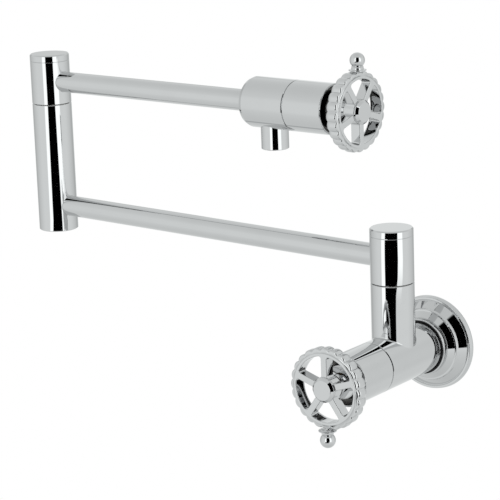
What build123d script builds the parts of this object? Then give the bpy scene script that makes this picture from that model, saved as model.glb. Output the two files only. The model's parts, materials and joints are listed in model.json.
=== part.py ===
"""Wall mounted pot filler with two swivel joints, two valves and gear-rimmed handwheels.

Frame: millimetres. The origin is the centre of the inlet on the wall face, the wall face is
the plane Y = 0, the room is on the -Y side, +X runs to the right seen from the room, +Z is up.
"""

import os
from math import cos, radians, sin

from build123d import *

os.makedirs("parts", exist_ok=True)

# ---- where the joints and arms stand --------------------------------------------------
post_out = 52.4        # wall face to the axis of the base post
lower_reach = 349.0    # axis of the base post to the axis of the elbow post
lower_turn = 5.06      # the stored lower arm leans this many degrees towards the wall
upper_turn = -3.7      # direction of the stored upper arm, degrees from +X
outlet_reach = 236.0   # axis of the elbow post to the axis of the outlet
riser_rise = 57.8      # inlet axis to the base swivel seam
arm_rise = 18.0        # swivel seam to the axis of the arm above it
arm_spacing = 102.5    # height between the two arms
elbow_drop = 20.5      # lower arm axis to the bottom of the elbow post
outlet_drop = 34.2     # upper arm axis to the outlet's lip

# ---- posts and arms -------------------------------------------------------------------
post_d = 32.0
housing_h = 34.8       # swivel seam to the cap seam
cap_h = 5.6
cap_spigot_h = 2.4
cap_spigot_wall = 1.6
cap_spigot_d = 26.2
cap_edge = 0.9
end_edge = 0.6
seam_edge = 0.3
arm_d = 16.5
arm_wall = 1.5
arm_seat = 12.8        # a post's axis to the end of the tube brazed into it
post_floor = 6.0       # closed bottom of the elbow post
post_bore_d = 17.0     # waterway up a post

# ---- swivel joints --------------------------------------------------------------------
seam_gap = 0.6         # open groove between the faces that turn on each other
running_gap = 0.06     # radial clearance of a turning fit
axial_gap = 0.05       # end clearance of a turning fit
thread_gap = 0.1       # radial clearance drawn between screwed pieces
spindle_d = 21.9
spindle_thread_d = 20.6
spindle_thread_h = 12.0
spindle_low_h = 9.0    # full-size shaft below the ports
spindle_shoulder = 0.6 # shaft shoulder to the housing's web
port_low = 13.0        # swivel seam to the lower edge of the ports
port_web = 3.0         # full-size shaft above the ports
spindle_mid_d = 16.0
spindle_bore_d = 11.0
spindle_neck_d = 14.9
spindle_stud_d = 8.0
stud_h = 5.2
web_sink = 9.2         # cap seam down to the underside of the housing's inner web
web_h = 3.4
port_w = 6.0
port_count = 4
low_ring_d = 2.0       # cord thickness of the lower O-ring
low_ring_rise = 4.2
top_ring_d = 1.5
cord_sides = 6         # a ring's cord is drawn with this many flats
groove_slack = 0.3     # a groove is this much wider than its ring
ring_gap = 0.03        # a ring stands this clear of the bore it seals
thrust_d = 27.0
thrust_bore_d = 22.4
thrust_sink = 0.7      # the thrust washer lies this deep in the post's end
recess_gap = 0.15      # radial clearance of a washer in its recess
braze_gap = 0.05       # radial clearance of a brazed or pressed socket
washer_d = 20.0
washer_h = 0.8
nut_flats = 13.0
nut_h = 3.6
nut_cavity_d = 24.0

# ---- valve barrels, common to both valves ---------------------------------------------
valve_d = 38.2
base_seam_out = 82.2   # wall face to the base bonnet's seam
outlet_to_seam = 22.1  # outlet axis to the spout bonnet's seam
inlet_bore_d = 11.0
inlet_thread_d = 19.8  # pitch diameter of the 1/2 in pipe thread
inlet_thread_depth = 17.5
spout_back_len = 42.6  # spout bonnet's seam back to the rounded end of its barrel
spout_back_edge = 4.0
socket_web = 5.6       # metal between the upper arm's socket and the valve seat
spigot_d = 33.8        # male thread that carries the bonnet
spigot_len = 8.8
chamber_d = 25.0
chamber_len = 17.0
cartridge_thread_d = 23.0
seat_back = 29.0       # bonnet seam back to the valve seat
saddle_round = 1.2     # fillet where the riser stands on the barrel
riser_web = 2.0        # metal between the riser's waterway and the inlet's

# ---- bonnet and collar nut, lengths outwards from the bonnet seam ----------------------
bonnet_len = 35.8
bonnet_cavity_d = 30.0
bonnet_web_out = 30.0
bonnet_web_h = 3.0
bonnet_dish_d = 26.0
bonnet_edge = 0.5
collar_d = 24.6
collar_out = 39.6
collar_edge = 1.0
collar_bore_d = 14.8

# ---- cartridge ------------------------------------------------------------------------
cartridge_ring_d = 1.8
cartridge_ring_out = 6.5
seal_h = 2.4
disc_h = 3.0
disc_d = 17.2
disc_gap = 0.03        # the two discs' faces
disc_port_d = 4.8
disc_port_out = 4.9
cup_wall = 1.2
cup_gap = 0.12         # discs in the cup
cup_window_w = 11.0
cup_stop = 0.6         # the cup's end stays this far off the seat
blade_w = 5.0
blade_l = 14.0
blade_h = 3.2
blade_sink = 1.1
stem_d = 11.0
stem_ring_d = 1.5
stem_ring_out = 5.0
stem_ring_pitch = 7.0
hex_flats = 24.0
hex_len = 7.0
neck_d = 17.0
neck_out = 35.0
stop_depth = 4.0       # depth of the quarter-turn stop
stop_d = 15.4
stop_ring_d = 10.6
lug_gap = 0.15
lug_angle = 30.0
quarter_turn = 90.0
stop_slack = 1.0       # degrees of clearance at each stop
spline_d = 8.0
spline_out = 52.3
spline_teeth = 12      # corners of the stem's driving end

# ---- handwheel ------------------------------------------------------------------------
wheel_front = 60.1     # bonnet seam to the front face of the rim and spokes
rim_depth = 10.5
rim_step = 0.8         # the cogs start this far behind the front face
ring_d = 52.4          # smooth ring in front of the cogs
ring_edge = 0.6
window_d = 48.0
cog_count = 24
cog_round = 3.85       # radius over the corners of a cog's facetted top
cog_sides = 12
cog_pitch_r = 26.0     # radius on which the cogs' centres lie
cog_drop = 0.8         # the cogs' front ends are this much lower than their middles
cog_taper = 1.4        # length of a cog's tapered front end
tail_drop = 1.6        # the same at the back
tail_taper = 3.6
spoke_count = 5
spoke_w = 4.8
spoke_depth = 8.0
window_corner = 1.6
hub_d = 18.1
hub_face = 3.0         # the hub's button stands this far in front of the spokes
hub_edge = 0.5
hub_step = 2.0         # length of the hub behind the spokes before its barrel
barrel_d = 13.6
barrel_in = 38.6       # bonnet seam to the back of the hub's barrel
screw_floor = 2.2
screw_d = 5.0
screw_head_d = 9.0
screw_head_h = 2.8
screw_len = 11.0
screw_socket = 2.5
button_spigot_d = 12.2
button_spigot_h = 2.0
finial_seat = 29.2     # wheel axis to the spot face under the finial
finial_out = 37.6      # wheel axis to the centre of the finial's ball
finial_back = 2.8      # the wheel's front face back to the finial's axis
finial_ball_d = 11.2
finial_collar_d = 13.0
finial_collar_h = 1.7
finial_neck_d = 8.8
finial_neck_h = 3.4
finial_stud_d = 3.0
finial_stud_h = 5.0
finial_edge = 0.35

# ---- outlet ---------------------------------------------------------------------------
outlet_d = 21.0
outlet_bore_d = 16.0
outlet_port_d = 13.6   # waterway from the chamber down to the outlet
outlet_sink = 4.5      # length of the outlet held in the barrel's wall
outlet_lip = 0.5
insert_d = 18.4
insert_h = 10.0
insert_wall = 1.4
insert_set = 1.0       # the insert lies this far inside the lip
insert_floor = 1.5
jet_d = 2.2
jet_ring_r = 5.0
jet_count = 12
outlet_washer_h = 1.5

# ---- wall flange and inlet ------------------------------------------------------------
flange_d = 71.4
flange_edge_h = 1.5
roll_h = 3.2           # height of the rounded outer rim
roll_r = 1.7
groove_in = 3.3        # the outer edge in to the groove beside the rounded rim
groove_h = 2.6
slope_mid_in = 6.9
slope_mid_h = 4.3
step_in = 8.7          # the outer edge in to the raised ring
step_w = 1.6
step_low_h = 7.6
step_top_h = 9.4
cone_flare = 0.6       # the cone's tip stands this far outside the collar
cone_h = 13.6
flange_collar_d = 42.0
flange_h = 17.5
flange_gap = 0.25      # open ring between the flange and the barrel
flange_wall = 2.2
flange_skin = 1.6      # thickness of the flange's foot
step_round = 0.6       # bevel on the raised ring
collar_round = 0.8     # bevel on the collar's tip
foot_w = 5.3           # width of the flange's foot on the wall
gasket_margin = 1.1    # the outer edge in to the gasket
gasket_w = 2.6
gasket_h = 1.5
grip_out = 11.5        # wall face to the groove of the rubber ring that holds the flange
grip_lip = 1.0
grip_cord = 1.6

# ---- worked out from the above --------------------------------------------------------
post_r = post_d / 2
arm_r = arm_d / 2
arm_bore_r = arm_r - arm_wall
valve_r = valve_d / 2
low_share = 1 - sin(radians(45))    # where the two bevels of a rounded corner meet
housing_bore_r = spindle_d / 2 + running_gap
web_bore_r = spindle_neck_d / 2 + running_gap
web_low = housing_h - web_sink
web_top = web_low + web_h
port_h = web_low - spindle_shoulder - port_web - port_low
neck_top = web_top + axial_gap
face_gap = seam_gap / 2
thrust_floor = -face_gap - thrust_sink
upper_axis_z = riser_rise + arm_rise + arm_spacing
spout_seam_out = outlet_reach + outlet_to_seam
arm_socket = spout_back_len - seat_back - socket_web
wheel_back = wheel_front - rim_depth
spoke_back = wheel_front - spoke_depth
cup_bore_r = disc_d / 2 + cup_gap
cup_r = cup_bore_r + cup_wall
seal_top = -seat_back + seal_h
fixed_top = seal_top + disc_h
moving_low = fixed_top + disc_gap
moving_top = moving_low + disc_h
foot_top = moving_top + blade_h
thread_back = -seat_back + chamber_len
stem_bore_r = stem_d / 2 + running_gap
stop_floor = neck_out - stop_depth
hub_floor = spline_out + axial_gap + screw_floor

# ---- the planes that the pieces are built on ------------------------------------------
lower_dir = Vector(-cos(radians(lower_turn)), sin(radians(lower_turn)), 0)
upper_dir = Vector(cos(radians(upper_turn)), sin(radians(upper_turn)), 0)
up = Vector(0, 0, 1)
room = Vector(0, -1, 0)
base_foot = Vector(0, -post_out, 0)
elbow_foot = base_foot + lower_dir * lower_reach

inlet_plane = Plane(origin=(0, 0, 0), x_dir=up, z_dir=room)
base_pivot = Plane(origin=base_foot + up * riser_rise, x_dir=lower_dir, z_dir=up)
elbow_pivot = Plane(origin=elbow_foot + up * (upper_axis_z - arm_rise), x_dir=upper_dir, z_dir=up)
spout_plane = Plane(origin=elbow_foot + up * upper_axis_z, x_dir=up, z_dir=upper_dir)
base_seam = inlet_plane.offset(base_seam_out)
spout_seam = spout_plane.offset(spout_seam_out)
outlet_plane = Plane(
    origin=elbow_foot + upper_dir * outlet_reach + up * (upper_axis_z - outlet_drop),
    x_dir=upper_dir,
    z_dir=up,
)


def turn(plane, *outline, mode=Mode.ADD):
    """Turn an outline of (radius, distance along the axis) points round a plane's axis."""
    side = Plane(origin=plane.origin, x_dir=plane.x_dir, z_dir=-plane.y_dir)
    with BuildSketch(side) as profile:
        with BuildLine():
            Polyline(*outline, close=True)
        make_face()
    revolve(profile.sketch, axis=Axis(plane.origin, plane.z_dir), mode=mode)


def bore(plane, radius, start, end):
    """A plain round hole along a plane's axis, between two distances."""
    turn(plane, (0, start), (radius, start), (radius, end), (0, end), mode=Mode.SUBTRACT)


def cord_ring(plane, radius, out, cord_d):
    """An O-ring: a cord turned round the plane's axis at a distance along it."""
    side = Plane(origin=plane.origin, x_dir=plane.x_dir, z_dir=-plane.y_dir)
    with BuildSketch(side) as profile:
        with Locations((radius, out)):
            RegularPolygon(cord_d / 2, cord_sides)
    revolve(profile.sketch, axis=Axis(plane.origin, plane.z_dir))


def groove(plane, bore_r, out, cord_d):
    """Cut the groove that an O-ring lies in, in a shaft that runs in the given bore."""
    floor_r = bore_r - 2 * ring_gap - cord_d
    half = (cord_d + groove_slack) / 2
    turn(
        plane,
        (floor_r, out - half),
        (bore_r + cord_d, out - half),
        (bore_r + cord_d, out + half),
        (floor_r, out + half),
        mode=Mode.SUBTRACT,
    )


def side_socket(plane, rise, direction, start, end, radius):
    """Cut a flat-ended round socket sideways into a post, square to its axis."""
    foot = plane.origin + plane.z_dir * rise + direction * start
    with BuildSketch(Plane(origin=foot, x_dir=up, z_dir=direction)) as mouth:
        Circle(radius)
    extrude(mouth.sketch, amount=end - start, mode=Mode.SUBTRACT)


def write(piece, name):
    """Label a finished piece and write its file."""
    piece.part.label = name
    export_step(piece.part, f"parts/{name}.step")


# ======================================================================================
# Wall flange: a pressed and turned rosette that hides the hole in the wall. It has a
# rounded outer rim, a hollow slope, a raised ring, a cone and a collar round the barrel.
# ======================================================================================
flange_r = flange_d / 2
groove_r = flange_r - groove_in
slope_mid_r = flange_r - slope_mid_in
step_r = flange_r - step_in
step_in_r = step_r - step_w
foot_r = flange_r - foot_w
gasket_out_r = flange_r - gasket_margin
gasket_in_r = gasket_out_r - gasket_w
collar_r = flange_collar_d / 2
cone_r = collar_r + cone_flare
barrel_gap_r = valve_r + flange_gap
grip_in = grip_out + grip_cord + groove_slack
grip_r = valve_r + grip_cord + 2 * ring_gap
with BuildPart() as wall_flange:
    turn(
        inlet_plane,
        (flange_r, 0),
        (flange_r, flange_edge_h),
        (flange_r - roll_r, roll_h),
        (groove_r, groove_h),
        (slope_mid_r, slope_mid_h),
        (step_r, step_low_h),
        (step_r, step_top_h - step_round),
        (step_r - step_round, step_top_h),
        (step_in_r, step_top_h),
        (cone_r, cone_h),
        (collar_r, cone_h),
        (collar_r, flange_h - collar_round),
        (collar_r - collar_round, flange_h),
        (barrel_gap_r, flange_h),
        (barrel_gap_r, grip_in),
        (grip_r, grip_in),
        (grip_r, grip_out),
        (barrel_gap_r, grip_out),
        (barrel_gap_r, grip_out - grip_lip),
        (step_in_r - flange_wall, step_top_h - flange_wall),
        (foot_r, flange_skin),
        (foot_r, 0),
        (gasket_in_r, 0),
        (gasket_in_r, gasket_h),
        (gasket_out_r, gasket_h),
        (gasket_out_r, 0),
    )
write(wall_flange, "wall_flange")

# Foam rubber ring that seals the flange on the wall.
with BuildPart() as flange_gasket:
    turn(
        inlet_plane,
        (gasket_in_r + ring_gap, 0),
        (gasket_out_r - ring_gap, 0),
        (gasket_out_r - ring_gap, gasket_h - ring_gap),
        (gasket_in_r + ring_gap, gasket_h - ring_gap),
    )
write(flange_gasket, "flange_gasket")

# Rubber ring that grips the barrel and holds the flange against the wall.
with BuildPart() as flange_grip_ring:
    grip_mid = (grip_out + grip_in) / 2
    cord_ring(inlet_plane, valve_r + ring_gap + grip_cord / 2, grip_mid, grip_cord)
write(flange_grip_ring, "flange_grip_ring")


# ======================================================================================
# Valve bodies. Each barrel holds the valve seat, the chamber round the cartridge and the
# threads of the cartridge and the bonnet, all measured from the bonnet's seam.
# ======================================================================================
def valve_bores(seam):
    """Cut the chamber and the cartridge's thread into a barrel."""
    bore(seam, chamber_d / 2, -seat_back, thread_back)
    bore(seam, cartridge_thread_d / 2 + thread_gap, thread_back, spigot_len)


def valve_spigot(seam):
    """The male thread that the bonnet screws onto."""
    with BuildSketch(seam) as round_end:
        Circle(spigot_d / 2)
    extrude(round_end.sketch, amount=spigot_len)


with BuildPart() as base_valve_body:
    with BuildSketch(inlet_plane):
        Circle(valve_r)
    extrude(amount=base_seam_out)
    with BuildSketch(Plane(origin=base_foot, x_dir=(1, 0, 0), z_dir=up)):
        Circle(post_r)
    extrude(amount=riser_rise - face_gap)
    saddle = base_valve_body.edges().filter_by(GeomType.BSPLINE)
    fillet(saddle, saddle_round)
    chamfer(
        base_valve_body.edges().filter_by(GeomType.CIRCLE).group_by(Axis.Y)[0], seam_edge
    )
    chamfer(
        base_valve_body.edges().filter_by(GeomType.CIRCLE).group_by(Axis.Z)[-1], seam_edge
    )
    valve_spigot(base_seam)
    bore(inlet_plane, inlet_thread_d / 2, 0, inlet_thread_depth)
    bore(inlet_plane, inlet_bore_d / 2, inlet_thread_depth, base_seam_out - seat_back)
    valve_bores(base_seam)
    # the riser's waterway stops above the inlet's, and opens into the valve's chamber
    riser_floor = inlet_bore_d / 2 + riser_web - riser_rise
    bore(base_pivot, post_bore_d / 2, riser_floor, 0)
    bore(base_pivot, spindle_thread_d / 2 + thread_gap, thrust_floor - spindle_thread_h, 0)
    bore(base_pivot, thrust_d / 2 + recess_gap, thrust_floor, 0)
write(base_valve_body, "base_valve_body")

with BuildPart() as spout_valve_body:
    bevel_mid = spout_back_edge * low_share
    turn(
        spout_seam,
        (0, -spout_back_len),
        (valve_r - spout_back_edge, -spout_back_len),
        (valve_r - bevel_mid, bevel_mid - spout_back_len),
        (valve_r, spout_back_edge - spout_back_len),
        (valve_r, -seam_edge),
        (valve_r - seam_edge, 0),
        (0, 0),
    )
    valve_spigot(spout_seam)
    socket_end = spout_seam_out - spout_back_len + arm_socket
    bore(spout_plane, arm_r + braze_gap, spout_seam_out - spout_back_len, socket_end)
    bore(spout_plane, inlet_bore_d / 2, socket_end, spout_seam_out - seat_back)
    valve_bores(spout_seam)
    # the outlet's waterway and its socket, up through the wall below the chamber
    outlet_top = outlet_drop - valve_r + outlet_sink
    bore(outlet_plane, outlet_port_d / 2, outlet_top, outlet_drop - chamber_d / 4)
    bore(outlet_plane, outlet_d / 2 + braze_gap, 0, outlet_top)
write(spout_valve_body, "spout_valve_body")


# ======================================================================================
# Swivel joints. A hollow spindle is screwed into the post below. The housing above turns
# round it on a low washer, and a nut and washer over its inner web keep it down.
# ======================================================================================
def swivel_spindle(pivot):
    """Hollow spindle with four ports, the grooves of two O-rings and a stud on top."""
    turn(
        pivot,
        (0, thrust_floor - spindle_thread_h),
        (spindle_thread_d / 2, thrust_floor - spindle_thread_h),
        (spindle_thread_d / 2, thrust_floor),
        (spindle_d / 2, thrust_floor),
        (spindle_d / 2, spindle_low_h),
        (spindle_mid_d / 2, spindle_low_h),
        (spindle_mid_d / 2, web_low - spindle_shoulder),
        (spindle_neck_d / 2, web_low - spindle_shoulder),
        (spindle_neck_d / 2, neck_top),
        (spindle_stud_d / 2, neck_top),
        (spindle_stud_d / 2, neck_top + stud_h),
        (0, neck_top + stud_h),
    )
    port_top = port_low + port_h
    bore(pivot, spindle_bore_d / 2, thrust_floor - spindle_thread_h, port_top)
    for i in range(port_count):
        side = Plane(
            origin=pivot.origin + pivot.z_dir * (port_low + port_h / 2),
            x_dir=pivot.z_dir,
            z_dir=pivot.x_dir.rotate(Axis.Z, (i + 0.5) * 360 / port_count),
        )
        with BuildSketch(side) as port:
            Rectangle(port_h, port_w)
        extrude(port.sketch, amount=spindle_d, mode=Mode.SUBTRACT)
    groove(pivot, housing_bore_r, low_ring_rise, low_ring_d)
    groove(pivot, web_bore_r, web_low + web_h / 2, top_ring_d)


def swivel_housing(pivot):
    """The short post that turns on the spindle and carries an arm."""
    turn(
        pivot,
        (housing_bore_r, face_gap),
        (post_r - seam_edge, face_gap),
        (post_r, face_gap + seam_edge),
        (post_r, housing_h - seam_edge),
        (post_r - seam_edge, housing_h),
        (cap_spigot_d / 2 + thread_gap, housing_h),
        (cap_spigot_d / 2 + thread_gap, housing_h - cap_spigot_h - axial_gap),
        (nut_cavity_d / 2, housing_h - cap_spigot_h - axial_gap),
        (nut_cavity_d / 2, web_top),
        (web_bore_r, web_top),
        (web_bore_r, web_low),
        (housing_bore_r, web_low),
    )
    side_socket(pivot, arm_rise, pivot.x_dir, arm_seat, post_d, arm_r + braze_gap)
    side_socket(pivot, arm_rise, pivot.x_dir, post_r / 2, post_r, arm_bore_r)


def swivel_cap(pivot):
    """Flat cap over the nut, with a hollow screwed spigot."""
    turn(
        pivot,
        (0, housing_h),
        (cap_spigot_d / 2 - cap_spigot_wall, housing_h),
        (cap_spigot_d / 2 - cap_spigot_wall, housing_h - cap_spigot_h),
        (cap_spigot_d / 2, housing_h - cap_spigot_h),
        (cap_spigot_d / 2, housing_h),
        (post_r - seam_edge, housing_h),
        (post_r, housing_h + seam_edge),
        (post_r, housing_h + cap_h - cap_edge),
        (post_r - cap_edge, housing_h + cap_h),
        (0, housing_h + cap_h),
    )


def thrust_washer(pivot):
    """Low-friction washer that the housing turns on."""
    turn(
        pivot,
        (thrust_bore_d / 2, thrust_floor),
        (thrust_d / 2, thrust_floor),
        (thrust_d / 2, face_gap - axial_gap),
        (thrust_bore_d / 2, face_gap - axial_gap),
    )


def retaining_washer(pivot):
    """Flat washer on the spindle's neck that overhangs the housing's web."""
    turn(
        pivot,
        (spindle_stud_d / 2 + thread_gap, neck_top),
        (washer_d / 2, neck_top),
        (washer_d / 2, neck_top + washer_h),
        (spindle_stud_d / 2 + thread_gap, neck_top + washer_h),
    )


def retaining_nut(pivot):
    """Hexagon nut on the spindle's stud."""
    with BuildSketch(pivot.offset(neck_top + washer_h)) as hexagon:
        RegularPolygon(nut_flats / 2, 6, major_radius=False)
        Circle(spindle_stud_d / 2 + thread_gap, mode=Mode.SUBTRACT)
    extrude(hexagon.sketch, amount=nut_h)


for joint_name, pivot in (("base", base_pivot), ("elbow", elbow_pivot)):
    with BuildPart() as spindle:
        swivel_spindle(pivot)
    write(spindle, f"{joint_name}_swivel_spindle")

    with BuildPart() as low_ring:
        low_ring_r = housing_bore_r - ring_gap - low_ring_d / 2
        cord_ring(pivot, low_ring_r, low_ring_rise, low_ring_d)
    write(low_ring, f"{joint_name}_swivel_low_ring")

    with BuildPart() as top_ring:
        top_ring_r = web_bore_r - ring_gap - top_ring_d / 2
        cord_ring(pivot, top_ring_r, web_low + web_h / 2, top_ring_d)
    write(top_ring, f"{joint_name}_swivel_top_ring")

    with BuildPart() as thrust:
        thrust_washer(pivot)
    write(thrust, f"{joint_name}_thrust_washer")

    with BuildPart() as washer:
        retaining_washer(pivot)
    write(washer, f"{joint_name}_retaining_washer")

    with BuildPart() as nut:
        retaining_nut(pivot)
    write(nut, f"{joint_name}_retaining_nut")

    with BuildPart() as housing:
        swivel_housing(pivot)
    write(housing, f"{joint_name}_swivel_housing")

    with BuildPart() as cap:
        swivel_cap(pivot)
    write(cap, f"{joint_name}_swivel_cap")

# The elbow post stands on the end of the lower arm, closed at the bottom, and carries the
# elbow's spindle at the top.
with BuildPart() as elbow_post:
    low_arm_drop = arm_rise - arm_spacing
    turn(
        elbow_pivot,
        (0, low_arm_drop - elbow_drop),
        (post_r, low_arm_drop - elbow_drop),
        (post_r, -face_gap - seam_edge),
        (post_r - seam_edge, -face_gap),
        (0, -face_gap),
    )
    chamfer(elbow_post.edges().filter_by(GeomType.CIRCLE).sort_by(Axis.Z)[0], end_edge)
    bore(elbow_pivot, post_bore_d / 2, low_arm_drop - elbow_drop + post_floor, 0)
    bore(elbow_pivot, spindle_thread_d / 2 + thread_gap, thrust_floor - spindle_thread_h, 0)
    bore(elbow_pivot, thrust_d / 2 + recess_gap, thrust_floor, 0)
    side_socket(elbow_pivot, low_arm_drop, -lower_dir, arm_seat, post_d, arm_r + braze_gap)
    side_socket(elbow_pivot, low_arm_drop, -lower_dir, 0, post_r, arm_bore_r)
write(elbow_post, "elbow_post")


# ======================================================================================
# Arms: two straight round tubes, brazed into the posts and the spout's valve body.
# ======================================================================================
def arm_tube(plane, start, end):
    """Straight round tube between two distances along a plane's axis."""
    turn(
        plane,
        (arm_bore_r, start),
        (arm_r, start),
        (arm_r, end),
        (arm_bore_r, end),
    )


lower_plane = Plane(origin=base_foot + up * (riser_rise + arm_rise), x_dir=up, z_dir=lower_dir)
with BuildPart() as lower_arm_tube:
    arm_tube(lower_plane, arm_seat, lower_reach - arm_seat)
write(lower_arm_tube, "lower_arm_tube")

with BuildPart() as upper_arm_tube:
    arm_tube(spout_plane, arm_seat, spout_seam_out - spout_back_len + arm_socket)
write(upper_arm_tube, "upper_arm_tube")


# ======================================================================================
# Valve trim, the same for both valves. Distances run outwards from the bonnet's seam.
# A quarter-turn cartridge holds a fixed and a moving ceramic disc. The stem turns the
# moving disc, and the handwheel turns the stem.
# ======================================================================================
def bonnet(seam):
    """Plain round bonnet with a dished end, screwed over the body's spigot."""
    thread_r = spigot_d / 2 + thread_gap
    turn(
        seam,
        (thread_r, 0),
        (valve_r - seam_edge, 0),
        (valve_r, seam_edge),
        (valve_r, bonnet_len - bonnet_edge),
        (valve_r - bonnet_edge, bonnet_len),
        (bonnet_dish_d / 2, bonnet_len),
        (bonnet_dish_d / 2, bonnet_web_out + bonnet_web_h),
        (neck_d / 2 + thread_gap, bonnet_web_out + bonnet_web_h),
        (neck_d / 2 + thread_gap, bonnet_web_out),
        (bonnet_cavity_d / 2, bonnet_web_out),
        (bonnet_cavity_d / 2, spigot_len + axial_gap),
        (thread_r, spigot_len + axial_gap),
    )


def collar_nut(seam):
    """Round nut on the cartridge's neck that holds the bonnet and the stop ring in."""
    collar_low = bonnet_web_out + bonnet_web_h
    turn(
        seam,
        (neck_d / 2 + thread_gap, collar_low),
        (collar_d / 2, collar_low),
        (collar_d / 2, collar_out - collar_edge),
        (collar_d / 2 - collar_edge, collar_out),
        (collar_bore_d / 2, collar_out),
        (collar_bore_d / 2, neck_out + axial_gap),
        (neck_d / 2 + thread_gap, neck_out + axial_gap),
    )


def cartridge_body(seam):
    """Turned cartridge: cup for the discs, thread, hexagon, and neck with its stop."""
    turn(
        seam,
        (stem_bore_r, foot_top + axial_gap),
        (cup_bore_r, foot_top + axial_gap),
        (cup_bore_r, -seat_back + cup_stop),
        (cup_r, -seat_back + cup_stop),
        (cup_r, thread_back),
        (cartridge_thread_d / 2, thread_back),
        (cartridge_thread_d / 2, spigot_len),
        (neck_d / 2, spigot_len),
        (neck_d / 2, neck_out),
        (stem_bore_r, neck_out),
    )
    with BuildSketch(seam.offset(spigot_len)) as hexagon:
        RegularPolygon(hex_flats / 2, 6, major_radius=False)
        Circle(stem_bore_r, mode=Mode.SUBTRACT)
    extrude(hexagon.sketch, amount=hex_len)
    # two windows let the water out of the cup, beside the blade that turns the disc
    window_h = foot_top - moving_top
    with BuildSketch(seam.offset(moving_top)) as windows:
        Rectangle(cup_r * 3, cup_window_w)
        Circle(cup_bore_r, mode=Mode.SUBTRACT)
    extrude(windows.sketch, amount=window_h, mode=Mode.SUBTRACT)
    # the stop: a slot for the lug, a quarter turn long
    slot_size = quarter_turn + lug_angle + 2 * stop_slack
    with BuildSketch(seam.offset(stop_floor)) as slot:
        with BuildLine():
            arc = CenterArc((0, 0), stop_d / 2, -slot_size / 2, slot_size)
            Line((0, 0), arc @ 0)
            Line((0, 0), arc @ 1)
        make_face()
    extrude(slot.sketch, amount=stop_depth, mode=Mode.SUBTRACT)
    bore(seam, stop_ring_d / 2 + lug_gap, stop_floor, neck_out)
    groove(seam, cartridge_thread_d / 2 + thread_gap, cartridge_ring_out, cartridge_ring_d)


def disc(plane):
    """Ceramic disc with two round ports."""
    with BuildSketch(plane) as face:
        Circle(disc_d / 2)
        with Locations((disc_port_out, 0), (-disc_port_out, 0)):
            Circle(disc_port_d / 2, mode=Mode.SUBTRACT)
    extrude(face.sketch, amount=disc_h)


def valve_stem(seam):
    """Stem with a blade for the disc, two grooves and a toothed end for the wheel."""
    with BuildSketch(seam.offset(moving_top - blade_sink)) as blade:
        Rectangle(blade_l, blade_w)
    extrude(blade.sketch, amount=blade_h + blade_sink)
    turn(
        seam,
        (0, foot_top),
        (stem_d / 2, foot_top),
        (stem_d / 2, stop_floor),
        (0, stop_floor),
    )
    with BuildSketch(seam.offset(stop_floor)) as toothed:
        RegularPolygon(spline_d / 2, spline_teeth)
    extrude(toothed.sketch, amount=spline_out - stop_floor)
    bore(seam, screw_d / 2 + thread_gap, hub_floor - screw_len - axial_gap, spline_out)
    for ring_out in (stem_ring_out, stem_ring_out + stem_ring_pitch):
        groove(seam, stem_bore_r, ring_out, stem_ring_d)


def stop_ring(seam):
    """Ring on the stem's teeth whose lug meets the ends of the cartridge's slot."""
    with BuildSketch(seam.offset(stop_floor + axial_gap)) as lug:
        with BuildLine():
            arc = CenterArc(
                (0, 0), stop_d / 2 - lug_gap, -quarter_turn / 2 - lug_angle / 2, lug_angle
            )
            Line((0, 0), arc @ 0)
            Line((0, 0), arc @ 1)
        make_face()
        Circle(stop_ring_d / 2)
    extrude(lug.sketch, amount=stop_depth - 2 * axial_gap)
    with BuildSketch(seam.offset(stop_floor)) as sleeve:
        Circle(stop_ring_d / 2)
    extrude(sleeve.sketch, amount=barrel_in - stop_floor)
    with BuildSketch(seam.offset(stop_floor)) as toothed:
        RegularPolygon(spline_d / 2 + braze_gap, spline_teeth)
    extrude(toothed.sketch, amount=barrel_in - stop_floor, mode=Mode.SUBTRACT)


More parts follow.
